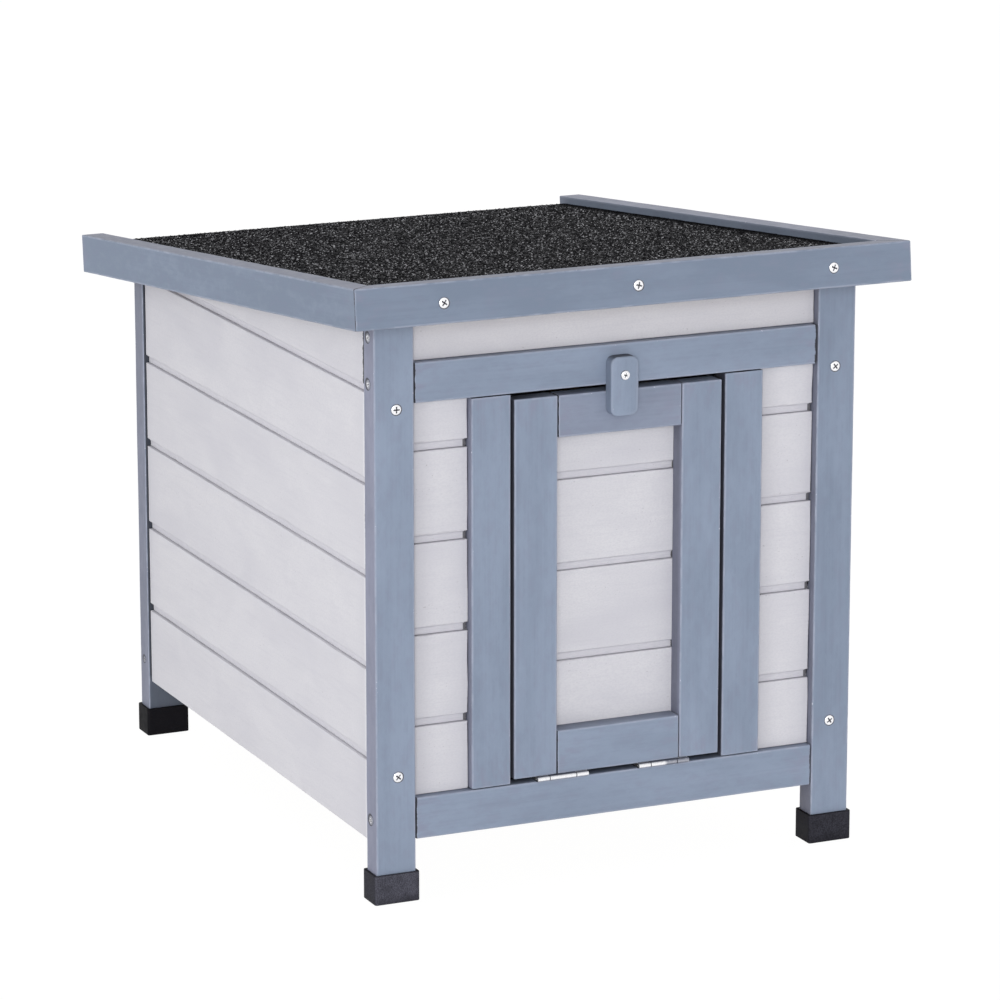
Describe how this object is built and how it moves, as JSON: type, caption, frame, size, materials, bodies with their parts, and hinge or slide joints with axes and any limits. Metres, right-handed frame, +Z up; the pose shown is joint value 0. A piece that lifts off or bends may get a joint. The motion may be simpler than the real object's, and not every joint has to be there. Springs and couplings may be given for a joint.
{
  "type": "outdoor cat house",
  "caption": "Raised wooden outdoor cat house with tongued board walls, a drop-down framed door held by a turn button, capped feet and a hinged felted pent roof.",
  "frame": {"origin": "on the ground, in the middle of the whole outline", "axes": "+X to the right seen from the front, +Y from the front to the back, +Z up"},
  "size_m": [0.503, 0.6506, 0.5289],
  "materials": {
    "blue_grey_wood": "matte stain",
    "white_wood": "matte stain",
    "bare_wood": "sawn, untreated",
    "roofing_felt": "rough mineral granules",
    "black_plastic": "matte",
    "zinc_steel": "bright zinc plating"
  },
  "bodies": {
    "house": {"door_hinge_frame_leaves": "zinc_steel", "floor_bearers": "bare_wood", "floor_panel": "bare_wood", "frame_hinge_screws": "zinc_steel", "frame_screws": "zinc_steel", "front_left_bay_boards": "white_wood", "front_left_foot_cap": "black_plastic", "front_left_jamb": "blue_grey_wood", "front_left_post": "blue_grey_wood", "front_lower_rail": "blue_grey_wood", "front_right_bay_boards": "white_wood", "front_right_foot_cap": "black_plastic", "front_right_jamb": "blue_grey_wood", "front_right_post": "blue_grey_wood", "front_top_board": "white_wood", "front_upper_rail": "blue_grey_wood", "hinge_pins": "zinc_steel", "left_side_battens": "bare_wood", "left_side_board_1": "white_wood", "left_side_board_2": "white_wood", "left_side_board_3": "white_wood", "left_side_board_4": "white_wood", "left_side_board_5": "white_wood", "left_side_board_6": "white_wood", "rear_boards": "white_wood", "rear_left_foot_cap": "black_plastic", "rear_left_post": "blue_grey_wood", "rear_lower_rail": "blue_grey_wood", "rear_right_foot_cap": "black_plastic", "rear_right_post": "blue_grey_wood", "rear_upper_rail": "blue_grey_wood", "right_side_battens": "bare_wood", "right_side_board_1": "white_wood", "right_side_board_2": "white_wood", "right_side_board_3": "white_wood", "right_side_board_4": "white_wood", "right_side_board_5": "white_wood", "right_side_board_6": "white_wood", "roof_hinge_frame_leaves": "zinc_steel", "turn_button_screw": "zinc_steel"},
    "door": {"door_board_1": "white_wood", "door_board_2": "white_wood", "door_board_3": "white_wood", "door_board_4": "white_wood", "door_bottom_rail": "blue_grey_wood", "door_hinge_door_leaves": "zinc_steel", "door_hinge_screws": "zinc_steel", "door_left_stile": "blue_grey_wood", "door_right_stile": "blue_grey_wood", "door_top_rail": "blue_grey_wood"},
    "turn_button": {"turn_button": "blue_grey_wood"},
    "roof_lid": {"roof_deck": "bare_wood", "roof_felt": "roofing_felt", "front_fascia": "blue_grey_wood", "left_fascia": "blue_grey_wood", "right_fascia": "blue_grey_wood", "fascia_screws": "zinc_steel", "roof_hinge_roof_leaves": "zinc_steel", "roof_hinge_screws": "zinc_steel"}
  },
  "joints": [
    {"name": "door_hinge", "type": "hinge", "parent": "house", "child": "door", "pos_m": [-0.004, -0.28592, 0.09025], "axis": [1, 0, 0], "range_deg": [0, 105]},
    {"name": "turn_button_pivot", "type": "hinge", "parent": "house", "child": "turn_button", "pos_m": [0, -0.29062, 0.4315], "axis": [0, -1, 0], "continuous": true},
    {"name": "roof_hinge", "type": "hinge", "parent": "house", "child": "roof_lid", "pos_m": [0, 0.27508, 0.44207], "axis": [-1, 0, 0], "range_deg": [0, 86]}
  ]
}
